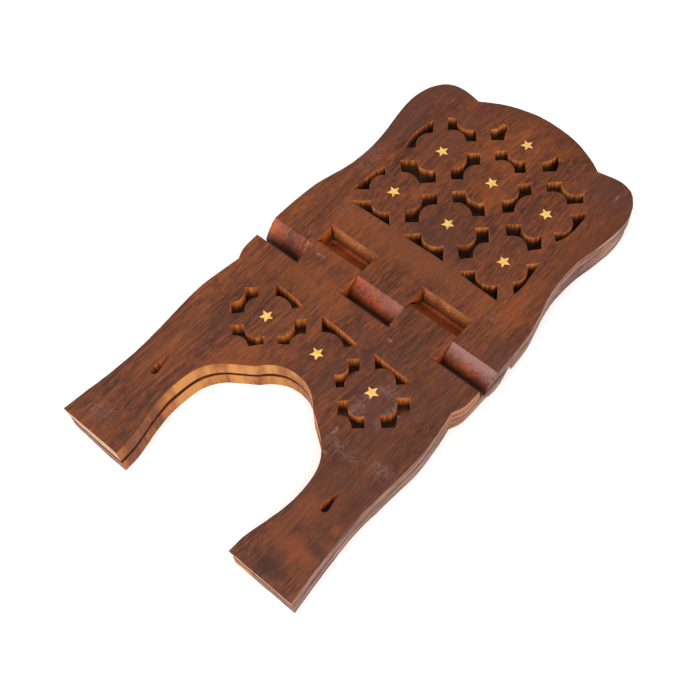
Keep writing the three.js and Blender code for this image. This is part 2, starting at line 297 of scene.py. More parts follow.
# Ramps: stops of tone and colour, with the colours that are mixed over them
ARCH_PALE = [(0.32, srgb(116, 60, 27)), (0.48, srgb(160, 98, 44)), (0.64, srgb(188, 128, 62))]
ARCH_BROWN = [(0.38, srgb(108, 54, 18)), (0.62, srgb(166, 94, 34))]
# Painted shade along the kerf, on the arch's wall
ARCH_KERF_SHADE = srgb(92, 36, 13)
SIDE_BROWN = [(0.36, srgb(54, 25, 14)), (0.50, srgb(100, 52, 31)), (0.64, srgb(136, 80, 50))]
# Painted sheen: a paler, greyer copy of the side colours, for the right-hand walls
SIDE_SHEEN = [(0.38, srgb(52, 27, 20)), (0.48, srgb(118, 80, 66)), (0.62, srgb(160, 120, 102))]
# Painted shade along the kerf, on the outer walls
SIDE_KERF_SHADE = srgb(34, 15, 9)
SHOULDER = srgb(166, 104, 62)
INNER = [(0.36, srgb(58, 27, 13)), (0.50, srgb(92, 46, 23)), (0.64, srgb(126, 70, 38))]
END_PALE = [(0.38, srgb(146, 98, 66)), (0.60, srgb(208, 166, 132))]
# Painted shade on the lower layer's end grain
END_LOWER_SHADE = [(0.38, srgb(62, 26, 12)), (0.60, srgb(108, 52, 26))]
# Painted shade along the kerf, on the feet's end grain
END_KERF_SHADE = srgb(60, 24, 10)
RUBBED = [(0.38, srgb(80, 30, 13)), (0.50, srgb(126, 55, 25)), (0.62, srgb(166, 80, 38))]
KNUCKLE_CLOUD = srgb(84, 44, 35)
KNUCKLE_DUST = srgb(134, 94, 86)
KNUCKLE_WORN = srgb(156, 64, 30)
# Painted shade, low on the knuckles' rounds
KNUCKLE_LOW_SHADE = srgb(38, 16, 11)
FRESH = [(0.36, srgb(80, 28, 7)), (0.64, srgb(140, 60, 16))]
FRESH_RIM = srgb(84, 32, 10)
TARNISHED = [(0.36, srgb(226, 176, 88)), (0.56, srgb(255, 214, 128))]

# Handling marks on the upper face: centre and radii in mm from the hinge, colour and strength
MARKS = [
    ((0, 28), (80, 16), LIGHT, 0.5),
    ((-30, -22), (40, 12), LIGHT, 0.3),
    ((-68, 96), (13, 60), PURPLE, 0.75),
    ((-56, 134), (16, 10), PURPLE, 0.8),
    ((52, 130), (22, 9), PURPLE, 0.6),
    ((68, 80), (14, 56), DARK, 0.7),
    ((0, 150), (64, 16), DARK, 0.6),
    ((-62, -95), (18, 44), LIGHT, 0.3),
    ((58, -96), (26, 66), DARK, 0.45),
    ((45, -60), (16, 16), PURPLE, 0.6),
    ((61, -94), (16, 7), PURPLE, 0.5),
    ((62, -124), (24, 36), DARK, 0.35),
    ((62, -134), (22, 9), ORANGE, 0.5),
    ((52, -116), (10, 14), ORANGE, 0.4),
    ((70, -116), (4, 4), ORANGE, 0.6),
    ((58, -149), (13, 8), PORE, 0.65),
    ((70, -129), (12, 5), PORE, 0.55),
]

DARK_FIGURE = ((60, -136), (24, 26))  # centre and radii of the slanted figure on the right leg
MARK_DEPTH = 6  # how far a mark reaches into the wood, in mm
MARK_RAGGED = 0.9
SCUFF_RAGGED = 1.6

# Scuffs and settled dust on the upper face: centre and radii in mm from the hinge, and strength
SCUFFS = [
    ((-61, -144), (9, 8), 0.3),
    ((35, -60), (6, 12), 0.3),
    ((41, -44), (9, 6), 0.3),
    ((50, -52), (5, 16), 0.3),
    ((66, -79), (10, 7), 0.28),
    ((45, -82), (16, 5), 0.25),
    ((35, -77), (1.6, 2.8), 1.0),
    ((39, -89), (2.6, 1.8), 0.8),
    ((-40, -4), (4.0, 1.6), 0.9),
    ((-54, 6), (2.4, 3.0), 0.3),
    ((23, -21), (2.4, 1.2), 0.6),
    ((54, 22), (3.8, 1.4), 0.6),
    ((-64, 64), (8, 20), 0.2),
    ((-50, 28), (7, 10), 0.15),
    ((60, 128), (1.0, 5), 0.5),
]


def weighted(nodes, *parts):
    """0.5 plus each noise's swing about 0.5, times its weight."""
    total = 0.5
    for value, weight in parts:
        made = nodes.node("ShaderNodeMath", operation="MULTIPLY_ADD")
        nodes.feed(made.inputs[0], nodes.math("SUBTRACT", value, 0.5))
        nodes.feed(made.inputs[1], weight)
        nodes.feed(made.inputs[2], total)
        total = made.outputs[0]
    return total


def from_hinge(nodes):
    """The place as x, y and z in metres from the hinge axis."""
    split = nodes.node("ShaderNodeSeparateXYZ")
    nodes.feed(split.inputs[0], nodes.vector("SUBTRACT", nodes.place, HINGE))
    return split.outputs["X"], split.outputs["Y"], split.outputs["Z"]


def mark(nodes, centre, radii, ragged, rough):
    """1 inside a soft ragged patch on the upper face, 0 outside. In millimetres from the hinge."""
    middle = HINGE + Vector((*centre, 0)) * MM + Vector((0, 0, FACE_LEVEL))
    offset = nodes.vector("SUBTRACT", nodes.place, middle)
    scaled = nodes.vector("DIVIDE", offset, Vector((*radii, MARK_DEPTH)) * MM)
    length = nodes.node("ShaderNodeVectorMath", operation="LENGTH")
    nodes.feed(length.inputs[0], scaled)
    distance = weighted(nodes, (rough, ragged), (length.outputs["Value"], 1.0))
    return nodes.band(distance, 0.15, 1.0, 1.0, 0.0)


def grain(nodes):
    """The wood's fibre pattern along Y: (streaks, bands, fibres, pores), each about 0 to 1."""
    sway = nodes.stretched((1.0, 0.45, 1.0), 16.0, 2.0, 0.5, "Color")
    sway = nodes.vector("SUBTRACT", sway, (0.5, 0.5, 0.5))
    sway = nodes.vector("MULTIPLY", sway, (0.018, 0.0, 0.018))
    swayed = nodes.vector("ADD", nodes.place, sway)
    streaks = nodes.noise(nodes.vector("MULTIPLY", swayed, (1.0, 0.05, 0.8)), 520.0, 3.0, 0.6)
    bands = nodes.noise(nodes.vector("MULTIPLY", swayed, (1.0, 0.14, 0.9)), 75.0, 2.0, 0.5)
    fibres = nodes.noise(nodes.vector("MULTIPLY", swayed, (1.0, 0.12, 1.0)), 1250.0, 3.0, 0.65)
    pores = nodes.noise(nodes.vector("MULTIPLY", swayed, (1.0, 0.10, 1.0)), 1000.0, 1.0, 0.4)
    return streaks, bands, fibres, nodes.band(pores, 0.62, 0.72)


def finish_wood(nodes, colour, roughness, height, relief, strength=0.7, specular=SPECULAR):
    nodes.feed(nodes.shader.inputs["Base Color"], colour)
    nodes.feed(nodes.shader.inputs["Roughness"], roughness)
    nodes.shader.inputs["Specular IOR Level"].default_value = specular
    nodes.feed(nodes.shader.inputs["Normal"], nodes.bump(height, relief, strength))
    return nodes.material


def face_wood():
    """The planed and oiled outer faces, with the marks of use on the upper one."""
    nodes = Nodes("rosewood_face")
    streaks, bands, fibres, pores = grain(nodes)
    x, y, z = from_hinge(nodes)
    mottle = nodes.stretched((1.0, 0.6, 1.0), 300.0, 5.0, 0.7)
    left = nodes.band(x, -44 * MM, -54 * MM)
    left_leg = nodes.math("MULTIPLY", left, nodes.band(y, -60 * MM, -84 * MM))
    left_leg = nodes.math("MULTIPLY", left_leg, nodes.band(z, 0.0, 8 * MM))
    left_leg = nodes.math("MULTIPLY", left_leg, nodes.band(y, -108 * MM, -126 * MM, 1.0, 0.35))
    strong = nodes.math("ADD", 0.34, nodes.math("MULTIPLY", left_leg, 0.55))
    tone = weighted(nodes, (streaks, strong), (mottle, 0.34), (fibres, 0.62), (bands, 0.3))
    colour = nodes.ramp(tone, [(0.36, DARKEST), (0.44, DARK), (0.52, MID), (0.64, LIGHT)])
    cloud = nodes.noise(nodes.place, 24.0, 3.0, 0.55)
    colour = nodes.mix(nodes.band(cloud, 0.50, 0.68, 0.0, 0.5), colour, PURPLE)
    colour = nodes.mix(nodes.band(cloud, 0.34, 0.48, 0.4, 0.0), colour, ORANGE)
    slanted = nodes.vector("MULTIPLY", nodes.turned(35), (0.25, 1.0, 1.0))
    figure = nodes.band(nodes.noise(slanted, 190.0, 3.0, 0.55, distortion=0.4), 0.48, 0.62)
    rough = nodes.noise(nodes.place, 260.0, 4.0, 0.65)
    share = nodes.math("MULTIPLY", figure, mark(nodes, *DARK_FIGURE, MARK_RAGGED, rough))
    colour = nodes.mix(nodes.math("MULTIPLY", share, 0.7), colour, PORE)
    for centre, radii, tint, strength in MARKS:
        share = nodes.math("MULTIPLY", mark(nodes, centre, radii, MARK_RAGGED, rough), strength)
        colour = nodes.mix(share, colour, tint)
    speckle = nodes.band(nodes.noise(nodes.place, 620.0, 4.0, 0.75), 0.40, 0.62)
    for centre, radii, strength in SCUFFS:
        share = nodes.math("MULTIPLY", mark(nodes, centre, radii, SCUFF_RAGGED, rough), speckle)
        colour = nodes.mix(nodes.math("MULTIPLY", share, strength), colour, HAZE)
    colour = nodes.mix(nodes.math("MULTIPLY", pores, 0.34), colour, PORE)
    relief = nodes.math("SUBTRACT", nodes.math("MULTIPLY", fibres, 0.5), pores)
    roughness = nodes.band(mottle, 0.3, 0.7, 0.56, 0.46)
    return finish_wood(nodes, colour, roughness, relief, 0.04 * MM, 0.6)


def sawn_wood(
    name, dark, light, deep_shade, stain, streak_scale=800.0, roughness=0.62, relief=0.12 * MM,
    panel_shade_rise=0.0, upright=0.06, contrast=0.7,
):
    """A wall cut with a narrow saw: upright marks, stained along its rim, painted shade towards
    the kerf.

    The painted shade reaches the given number of mm nearer to the rims on the panel's walls than
    on the legs'.
    """
    nodes = Nodes(name)
    marks = nodes.stretched((1.0, 1.0, upright), streak_scale, 3.0, 0.6)
    broad = nodes.stretched((1.0, 1.0, 0.4), 110.0, 2.0, 0.5)
    tone = weighted(nodes, (marks, contrast), (broad, 0.5))
    colour = nodes.ramp(tone, [(0.38, dark), (0.60, light)])
    _, y, z = from_hinge(nodes)
    depth = nodes.depth(z)
    swing = nodes.math("MULTIPLY", nodes.math("SUBTRACT", marks, 0.5), 5 * MM)
    ragged = nodes.math("ADD", depth, swing)
    ragged = nodes.math("SUBTRACT", ragged, nodes.band(y, 4 * MM, 16 * MM, 0.0, panel_shade_rise * MM))
    # Painted shade: the wall darkens deep in the cut, towards the kerf between the layers.
    colour = nodes.mix(nodes.band(ragged, 0.5 * MM, 7.5 * MM, 0.9, 0.0), colour, deep_shade)
    colour = nodes.mix(nodes.band(depth, 9.2 * MM, 9.7 * MM, 0.0, 0.5), colour, stain)
    return finish_wood(nodes, colour, roughness, marks, relief, 0.8)


def shaded_at_kerf(nodes, colour, z, tint, strength):
    """The colour, with painted shade along the kerf between the two layers."""
    return nodes.mix(nodes.band(nodes.depth(z), 0.8 * MM, 1.4 * MM, strength, 0.0), colour, tint)


def arch_wood():
    """The pale sawn wall under the arch. It turns brown and smooth down the legs."""
    nodes = Nodes("rosewood_arch")
    marks = nodes.stretched((1.0, 1.0, 0.10), 520.0, 3.0, 0.6)
    blotches = nodes.stretched((1.0, 1.0, 0.35), 80.0, 3.0, 0.55)
    tone = weighted(nodes, (marks, 0.45), (blotches, 1.2))
    pale = nodes.ramp(tone, ARCH_PALE)
    brown = nodes.ramp(tone, ARCH_BROWN)
    _, y, z = from_hinge(nodes)
    level = nodes.math("ADD", y, nodes.math("MULTIPLY", blotches, 18 * MM))
    share = nodes.band(level, -112 * MM, -98 * MM)
    colour = nodes.mix(share, brown, pale)
    colour = shaded_at_kerf(nodes, colour, z, ARCH_KERF_SHADE, 0.95)
    return finish_wood(nodes, colour, 0.66, marks, 0.1 * MM)


def side_wood():
    """The outer walls, filed smooth, with the grain's lines showing on edge, and a painted sheen
    on the right-hand ones.
    """
    nodes = Nodes("rosewood_side")
    streaks, bands, fibres, _ = grain(nodes)
    x, y, z = from_hinge(nodes)
    lines = nodes.stretched((0.08, 0.04, 1.0), 520.0, 3.0, 0.6)
    tone = weighted(nodes, (lines, 0.9), (streaks, 0.2), (fibres, 0.35), (bands, 0.2))
    brown = nodes.ramp(tone, SIDE_BROWN)
    sheened = nodes.ramp(tone, SIDE_SHEEN)
    # Painted sheen: the right-hand walls take the paler, greyer copy.
    colour = nodes.mix(nodes.band(x, 20 * MM, 40 * MM), brown, sheened)
    past_foot = nodes.band(y, -46 * MM, -36 * MM)
    shoulder = nodes.math("MULTIPLY", past_foot, nodes.band(y, -12 * MM, -18 * MM))
    shoulder = nodes.math("MULTIPLY", shoulder, nodes.band(x, 50 * MM, 60 * MM))
    shoulder = nodes.math("MULTIPLY", shoulder, nodes.band(z, 4 * MM, 9 * MM, 0.3, 0.75))
    colour = nodes.mix(shoulder, colour, SHOULDER)
    fade = nodes.band(nodes.noise(nodes.place, 22.0, 1.0, 0.5), 0.38, 0.52, 0.3, 0.95)
    colour = shaded_at_kerf(nodes, colour, z, SIDE_KERF_SHADE, fade)
    return finish_wood(nodes, colour, 0.62, lines, 0.08 * MM, 0.6, 0.14)


def inner_wood():
    """The hidden faces between the layers, straight off the saw, marked across the grain."""
    nodes = Nodes("rosewood_kerf")
    streaks, bands, fibres, pores = grain(nodes)
    cuts = nodes.stretched((0.05, 1.0, 1.0), 420.0, 3.0, 0.6)
    cloud = nodes.noise(nodes.place, 24.0, 3.0, 0.55)
    parts = [(streaks, 0.45), (fibres, 0.5), (bands, 0.4), (cuts, 0.35), (cloud, 0.4)]
    tone = weighted(nodes, *parts)
    colour = nodes.ramp(tone, INNER)
    colour = nodes.mix(nodes.math("MULTIPLY", pores, 0.35), colour, PORE)
    cut_relief = nodes.math("MULTIPLY", cuts, 0.8)
    relief = nodes.math("ADD", cut_relief, nodes.math("MULTIPLY", fibres, 0.4))
    return finish_wood(nodes, colour, 0.74, relief, 0.12 * MM, 0.8, 0.2)


def end_wood():
    """Pale end grain with its pores in the upper layer, and painted shade on the lower one."""
    nodes = Nodes("rosewood_end_grain")
    specks = nodes.noise(nodes.place, 1400.0, 2.0, 0.6)
    rings = nodes.stretched((0.3, 1.0, 1.6), 420.0, 3.0, 0.55)
    tone = weighted(nodes, (specks, 0.4), (rings, 0.7))
    colour = nodes.ramp(tone, END_PALE)
    x, _, z = from_hinge(nodes)
    # Painted shade: the lower layer's end is a darker copy of the end grain.
    lower_shaded = nodes.ramp(tone, END_LOWER_SHADE)
    lower_layer = nodes.band(z, 0.4 * MM, -0.4 * MM)
    below = nodes.math("MULTIPLY", lower_layer, nodes.band(x, -50 * MM, 0.0, 0.75, 1.0))
    colour = shaded_at_kerf(nodes, nodes.mix(below, colour, lower_shaded), z, END_KERF_SHADE, 0.8)
    return finish_wood(nodes, colour, 0.7, specks, 0.08 * MM)


def scratches(nodes):
    """A ragged height, in metres, that breaks up an edge with short slanting scratches."""
    slanted = nodes.vector("MULTIPLY", nodes.turned(-28), (0.18, 1.0, 0.6))
    fine = nodes.noise(slanted, 700.0, 3.0, 0.65)
    return nodes.math("MULTIPLY", nodes.math("SUBTRACT", fine, 0.5), 9 * MM)


def knuckle_wood():
    """The knuckles: redder and darker than the faces from rubbing, with painted shade low on their
    rounds, orange where a window shows them.
    """
    nodes = Nodes("rosewood_knuckle")
    streaks, bands, fibres, pores = grain(nodes)
    x, y, z = from_hinge(nodes)
    smooth = nodes.band(x, -46 * MM, -20 * MM, 0.8, 0.35)
    tone = weighted(nodes, (streaks, smooth), (fibres, 0.4), (bands, smooth))
    rubbed_and_shaded = nodes.ramp(tone, RUBBED)
    cloud = nodes.noise(nodes.place, 42.0, 2.0, 0.5)
    rubbed_and_shaded = nodes.mix(nodes.band(cloud, 0.48, 0.62, 0.0, 0.5), rubbed_and_shaded, KNUCKLE_CLOUD)
    dusty = nodes.band(x, -24 * MM, 56 * MM, 0.0, 0.9)
    scratched = nodes.band(nodes.math("ADD", z, scratches(nodes)), 3 * MM, 9 * MM)
    rubbed_and_shaded = nodes.mix(nodes.math("MULTIPLY", dusty, scratched), rubbed_and_shaded, KNUCKLE_DUST)
    worn = nodes.band(x, -1 * MM, -12 * MM)
    worn = nodes.math("MULTIPLY", worn, nodes.band(x, -34 * MM, -16 * MM))
    worn = nodes.math("MULTIPLY", worn, nodes.band(y, -5 * MM, -1 * MM, 0.0, 0.8))
    rubbed_and_shaded = nodes.mix(worn, rubbed_and_shaded, KNUCKLE_WORN)
    # Painted shade: the rounds darken towards the hinge axis's height, and below it.
    rubbed_and_shaded = nodes.mix(nodes.band(z, 5 * MM, 0.0, 0.0, 0.88), rubbed_and_shaded, KNUCKLE_LOW_SHADE)
    fresh = nodes.ramp(tone, FRESH)
    ragged = nodes.math("ADD", z, nodes.math("MULTIPLY", tone, 2 * MM))
    fresh = nodes.mix(nodes.band(ragged, 8.2 * MM, 10.4 * MM, 0.0, 0.5), fresh, FRESH_RIM)
    colour = nodes.mix(nodes.band(y, -0.2 * MM, 0.2 * MM), rubbed_and_shaded, fresh)
    colour = nodes.mix(nodes.math("MULTIPLY", pores, 0.4), colour, PORE)
    roughness = nodes.band(streaks, 0.3, 0.7, 0.54, 0.44)
    return finish_wood(nodes, colour, roughness, fibres, 0.05 * MM, 0.5)


def brass():
    nodes = Nodes("inlaid_brass")
    brushed = nodes.stretched((1.0, 0.12, 1.0), 3600.0, 2.0, 0.6)
    tarnish = nodes.noise(nodes.place, 520.0, 3.0, 0.6)
    colour = nodes.ramp(tarnish, TARNISHED)
    nodes.feed(nodes.shader.inputs["Base Color"], colour)
    nodes.shader.inputs["Metallic"].default_value = 0.8
    nodes.feed(nodes.shader.inputs["Roughness"], nodes.band(tarnish, 0.35, 0.65, 0.66, 0.54))
    nodes.feed(nodes.shader.inputs["Normal"], nodes.bump(brushed, 0.02 * MM, 0.6))
    return nodes.material


# In each sawn wall, the colour given for deep in the cut is painted shade.
ZONES = {
    "face": face_wood(),
    "fret": sawn_wood(
        "rosewood_fretwork",
        dark=srgb(140, 66, 24),
        light=srgb(216, 128, 56),
        deep_shade=srgb(22, 8, 4),
        stain=srgb(92, 40, 18),
        panel_shade_rise=3.2,
    ),
    "arch": arch_wood(),
    "side": side_wood(),
    "end": end_wood(),
    "knuckle": knuckle_wood(),
    "window": sawn_wood(
        "rosewood_window",
        dark=srgb(124, 68, 36),
        light=srgb(178, 110, 64),
        deep_shade=srgb(104, 50, 22),
        stain=srgb(104, 46, 22),
        streak_scale=900.0,
        roughness=0.55,
        relief=0.06 * MM,
        upright=0.7,
        contrast=0.5,
    ),
    "cheek": sawn_wood(
        "rosewood_cheek",
        dark=srgb(128, 58, 18),
        light=srgb(196, 104, 40),
        deep_shade=srgb(96, 38, 12),
        stain=srgb(96, 40, 16),
        streak_scale=700.0,
        roughness=0.55,
        relief=0.06 * MM,
        upright=0.5,
        contrast=0.5,
    ),
    "kerf": inner_wood(),
}
ZONE_INDEX = {name: index for index, name in enumerate(ZONES)}
BRASS = brass()


# ---------------------------------------------------------------- wooden leaves


def star_nodes(body):
    return [name for name in frame["record"]["behaviour"]["bodies"][body] if "_star_" in name]


def star_places(body):
    """Each star's centre, its outer face's height and its number, for one leaf."""
    places = []
    for index, node in enumerate(star_nodes(body)):
        low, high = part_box(node)
        middle = (low + high) / 2
        outer = high.z if middle.z > HINGE.z else low.z
        places.append((middle.x, middle.y, outer, index))
    return places


def hand_cut(x, y, place):
    """A star's outline is hand cut: the point, drawn in or out from the star's centre."""
    centre_x, centre_y, _, index = place
    dx, dy = x - centre_x, y - centre_y
    around = math.atan2(dy, dx)
    radius, step, start = STAR_NOISE
    sample = Vector((math.cos(around) * radius, math.sin(around) * radius, step * index + start))
    stretch = 1 + STAR_VARIATION * noise.noise(sample)
    return centre_x + dx * stretch, centre_y + dy * stretch


def fit_pockets(bm, body):
    """Draws each pocket in to hug its star. Returns the pockets' vertices."""
    shrink, reach, depth = POCKET_FIT
    pocket = set()
    for place in star_places(body):
        x, y, outer, _ = place
        for vert in bm.verts:
            near = math.hypot(vert.co.x - x, vert.co.y - y) < reach
            if near and abs(vert.co.z - outer) < depth:
                vert.co.x = x + (vert.co.x - x) * shrink
                vert.co.y = y + (vert.co.y - y) * shrink
                vert.co.x, vert.co.y = hand_cut(vert.co.x, vert.co.y, place)
                pocket.add(vert)
    return pocket


def wobble(co, seed):
    """How far the hand-held saw strayed at this point, across the wood only."""
    start, full = WOBBLE_FREE
    share = (abs(co.y - HINGE.y) - start) / (full - start)
    share = min(max(share, 0.0), 1.0)
    moved = Vector((0, 0, 0))
    for amplitude, length in WOBBLE:
        sample = Vector((co.x / length, co.y / length, seed + WOBBLE_UPRIGHT * co.z / length))
        moved += noise.noise_vector(sample) * amplitude
    return Vector((moved.x, moved.y, 0)) * share


def zone_of(centre, normal):
    """Which surface of the wood a face belongs to."""
    x, y, z = (centre - HINGE) / MM
    reach = math.hypot(y, z)
    outward = (y * normal.y + z * normal.z) / max(reach, 1e-6)
    if abs(normal.x) < 0.3:
        if ROUND_BAND[0] < reach < ROUND_BAND[1] and outward > 0.95 and abs(z) < ROUND_TOP:
            return "knuckle"
        if abs(normal.z) < 0.97 and abs(y) < KNUCKLE_END[0] and abs(z) < KNUCKLE_END[1]:
            return "knuckle"
    if abs(normal.z) > 0.5:
        if abs(z) > OUTER_LEVEL:
            return "face"
        return "knuckle" if abs(y) < WINDOW_FLOOR[0] and abs(x) < WINDOW_FLOOR[1] else "kerf"
    if abs(y) < WINDOW_WALLS[0] and abs(x) < WINDOW_WALLS[1]:
        if abs(normal.x) < 0.7:
            return "window"
        return "cheek" if abs(x) < PIERCED_HALF else "side"
    if y < LEG_END and normal.y < -0.8:
        return "end"
    if y > 0:
        return "fret" if abs(x) < PIERCED_HALF and y < PIERCED_TOP else "side"
    lowest = ARCH_CROWN[1] if abs(x) < ARCH_CROWN[0] else OVER_ARCH[1]
    if abs(x) < PIERCED_HALF and lowest < y < OVER_ARCH[0]:
        return "fret"
    drop_x, drop_half, drop_foot, drop_tip = LEG_DROP
    if abs(abs(x) - drop_x) < drop_half and drop_foot < y < drop_tip:
        return "fret"
    return "arch" if abs(x) < ARCH_HALF else "side"


def chamfer_knuckles(bm, body):
    """Planes the round knuckles down to the slanted ends that the carver left."""
    start, end, bulge = CHAMFERS[body]
    knuckles = [
        face for face in bm.faces if zone_of(face.calc_center_median(), face.normal) == "knuckle"
    ]
    facing = 1 if body == "two_knuckle_leaf" else -1  # where its upper knuckles end, along Y
    for vert in {vert for face in knuckles for vert in face.verts}:
        y, z = vert.co.y - HINGE.y, vert.co.z - HINGE.z
        side = math.copysign(1, z) if abs(z) > 1 * MM else math.copysign(1, y) * facing
        outward = facing * side
        is_round = ROUND_REACH[0] < math.hypot(y, z) < ROUND_REACH[1]
        if not is_round or y * outward < -MERGE_DISTANCE:
            continue
        fall = (FACE_LEVEL - side * z) / (FACE_LEVEL - CHAMFER_LOW)
        across = start + (end - start) * fall * (1 + bulge * (1 - fall))
        vert.co.y = HINGE.y + outward * across


def slant_feet(bm):
    """Cuts the ends of the legs out of square, each layer by its own amount."""
    for vert in bm.verts:
        x, y, z = (vert.co - HINGE) / MM
        near = min((y - FEET[0]) / (FEET[1] - FEET[0]), 1)
        if near > 0:
            upper = float(np.interp(x, *UPPER_SLANT))
            lower = float(np.interp(x, *LOWER_SLANT))
            if z > 0:
                back = upper * min(max((LAYER_TOP - z) / LAYER_DEPTH, 0), 1)
            else:
                back = upper + (lower - upper) * min(-z / LAYER_TOP, 1)
            vert.co.y += near * back * MM


def divide_walls(bm):
    """Cuts the walls into columns and rows, fine enough to stray as a hand-held saw does."""

    def cut(point, normal):
        geometry = bm.verts[:] + bm.edges[:] + bm.faces[:]
        bmesh.ops.bisect_plane(bm, geom=geometry, dist=SNAP, plane_co=point, plane_no=normal)

    low, high = CAD_BOX
    for step in range(1, int((high.x - low.x) / WALL_STEP)):
        cut((low.x + step * WALL_STEP, 0, 0), (1, 0, 0))
    for step in range(1, int((high.y - low.y) / WALL_STEP)):
        y = low.y + step * WALL_STEP
        if abs(y - HINGE.y) > WOBBLE_FREE[0]:
            cut((0, y, 0), (0, 1, 0))
    for row in WALL_ROWS:
        cut((0, 0, HINGE.z + row), (0, 0, 1))


def lies_at(part, level):
    """Whether an edge or a face lies at this height."""
    return all(abs(vert.co.z - level) < LEVEL_TOLERANCE for vert in part.verts)


def rim_loops(bm, level):
    """The closed loops of open edges at one height, each a list of (vertex, edge to the next)."""
    rims = dict.fromkeys(edge for edge in bm.edges if edge.is_boundary and lies_at(edge, level))
    loops = []
    while rims:
        edge = next(iter(rims))
        del rims[edge]
        start, vert = edge.verts
        loop = [(start, edge)]
        while vert is not start:
            following = next(e for e in vert.link_edges if e in rims)
            del rims[following]
            loop.append((vert, following))
            vert = following.other_vert(vert)
        loops.append(loop)
    return loops


def ease_rim(bm, loop, outward):
    """Rounds one rim of an outer face. Returns the loop's vertices in the plane of that face."""
    inwards = []
    for _, edge in loop:
        normal = edge.link_faces[0].normal
        upright = abs(normal.z) < UPRIGHT_WALL
        inwards.append(Vector((-normal.x, -normal.y, 0)).normalized() if upright else None)
    middle_share = 1 - math.sqrt(0.5)  # of a quarter circle's middle, from its corner
    rings = []
    for index, (vert, _) in enumerate(loop):
        before, after = inwards[index - 1], inwards[index]
        if before is None or after is None:
            rings.append((vert, vert, vert))
            continue
        mitre = before + after
        mitre *= min(1 / max(1 + before.dot(after), 0.1), EASE_MITRE / max(mitre.length, 0.1))
        top = vert.co.copy()
        diagonal = mitre - Vector((0, 0, outward))
        middle = bm.verts.new(top + diagonal * EDGE_EASE * middle_share)
        inner = bm.verts.new(top + mitre * EDGE_EASE)
        vert.co.z -= outward * EDGE_EASE
        rings.append((vert, middle, inner))
    for index, near in enumerate(rings):
        far = rings[(index + 1) % len(rings)]
        for row in range(2):
            corners = list(dict.fromkeys([near[row], far[row], far[row + 1], near[row + 1]]))
            if len(corners) > 2:
                bm.faces.new(corners)
    return [ring[2] for ring in rings]


def enclosed(points, loops):
    """Which points lie inside an odd number of the loops."""
    x, y = np.array(points).T
    odd = np.zeros(len(x), bool)
    for loop in loops:
        for (ax, ay), (bx, by) in zip(loop, loop[1:] + loop[:1]):
            if ay != by:
                crossing = ax + (y - ay) * (bx - ax) / (by - ay)
                odd ^= ((ay > y) != (by > y)) & (x < crossing)
    return odd


def fill_face(bm, loops, level, outward, seed):
    """Closes an outer face inside its rims, with a faint unevenness from the plane."""
    verts = [vert for loop in loops for vert in loop]
    outlines = [[(vert.co.x, vert.co.y) for vert in loop] for loop in loops]
    edges = []
    first = 0
    for loop in loops:
        edges += [(first + i, first + (i + 1) % len(loop)) for i in range(len(loop))]
        first += len(loop)
    points = [corner for outline in outlines for corner in outline]
    rim = np.array(points)
    low, high = rim.min(0), rim.max(0)
    across = np.arange(low[0] + FACE_STEP / 2, high[0], FACE_STEP)
    along = np.arange(low[1] + FACE_STEP / 2, high[1], FACE_STEP)
    inner = [(x, y) for x in across for y in along]
    kept = enclosed(inner, outlines)
    for (x, y), keep in zip(inner, kept):
        if keep and np.hypot(rim[:, 0] - x, rim[:, 1] - y).min() > FACE_STEP / 4:
            sample = Vector((x / FACE_WAVES[1], y / FACE_WAVES[1], seed))
            height = level - outward * abs(noise.noise(sample)) * FACE_WAVES[0]
            points.append((x, y))
            verts.append(bm.verts.new((x, y, height)))
    flat = [Vector(point) for point in points]
    made, _, faces, sources, _, _ = delaunay_2d_cdt(flat, edges, [], 0, 1e-9)
    middles = [[sum(made[i][axis] for i in face) / 3 for axis in (0, 1)] for face in faces]
    for face, keep in zip(faces, enclosed(middles, outlines)):
        corners = [verts[sources[i][0]] for i in face]
        if keep and bm.faces.get(corners) is None:
            bm.faces.new(corners)


def refine_leaf(body, seed):
    """The CAD leaf with rounded rims and a hand-sawn outline, its faces sorted by surface."""
    bm = bmesh.new()
    bm.from_mesh(frame["nodes"][body].data)
    bmesh.ops.remove_doubles(bm, verts=bm.verts, dist=MERGE_DISTANCE)
    levels = [(HINGE.z + side * FACE_LEVEL, side) for side in (-1, 1)]
    outer = [face for face in bm.faces if any(lies_at(face, level) for level, _ in levels)]
    bmesh.ops.delete(bm, geom=outer, context="FACES_ONLY")
    loose = [edge for edge in bm.edges if edge.is_wire]
    bmesh.ops.delete(bm, geom=loose, context="EDGES")
    divide_walls(bm)
    bm.normal_update()
    chamfer_knuckles(bm, body)
    slant_feet(bm)
    pocket = fit_pockets(bm, body)
    for vert in bm.verts:
        if vert not in pocket:
            vert.co += wobble(vert.co, seed)
    bm.normal_update()
    pocket_edges = {edge for vert in pocket for edge in vert.link_edges}
    for level, outward in levels:
        rims = []
        for loop in rim_loops(bm, level):
            if any(edge in pocket_edges for _, edge in loop):
                rims.append([vert for vert, _ in loop])
            else:
                rims.append(ease_rim(bm, loop, outward))
        fill_face(bm, rims, level, outward, seed)
    bmesh.ops.recalc_face_normals(bm, faces=bm.faces)
    for face in bm.faces:
        face.smooth = True
        face.material_index = ZONE_INDEX[zone_of(face.calc_center_median(), face.normal)]
    crease = {ZONE_INDEX["face"], ZONE_INDEX["knuckle"]}
    for edge in bm.edges:
        sharp = edge.calc_face_angle(0.0) > SHARP_WOOD
        edge.smooth = not sharp and {face.material_index for face in edge.link_faces} != crease
    mesh = bpy.data.meshes.new(f"{body}_wood")
    bm.to_mesh(mesh)
    bm.free()
    for material in ZONES.values():
        mesh.materials.append(material)
    leaf = bpy.data.objects.new(f"{body}_wood", mesh)
    bpy.context.scene.collection.objects.link(leaf)
    leaf.modifiers.new("flat_faces", "WEIGHTED_NORMAL").keep_sharp = True
    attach(leaf, body)
    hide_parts(body)
    return leaf


# ---------------------------------------------------------------- brass stars


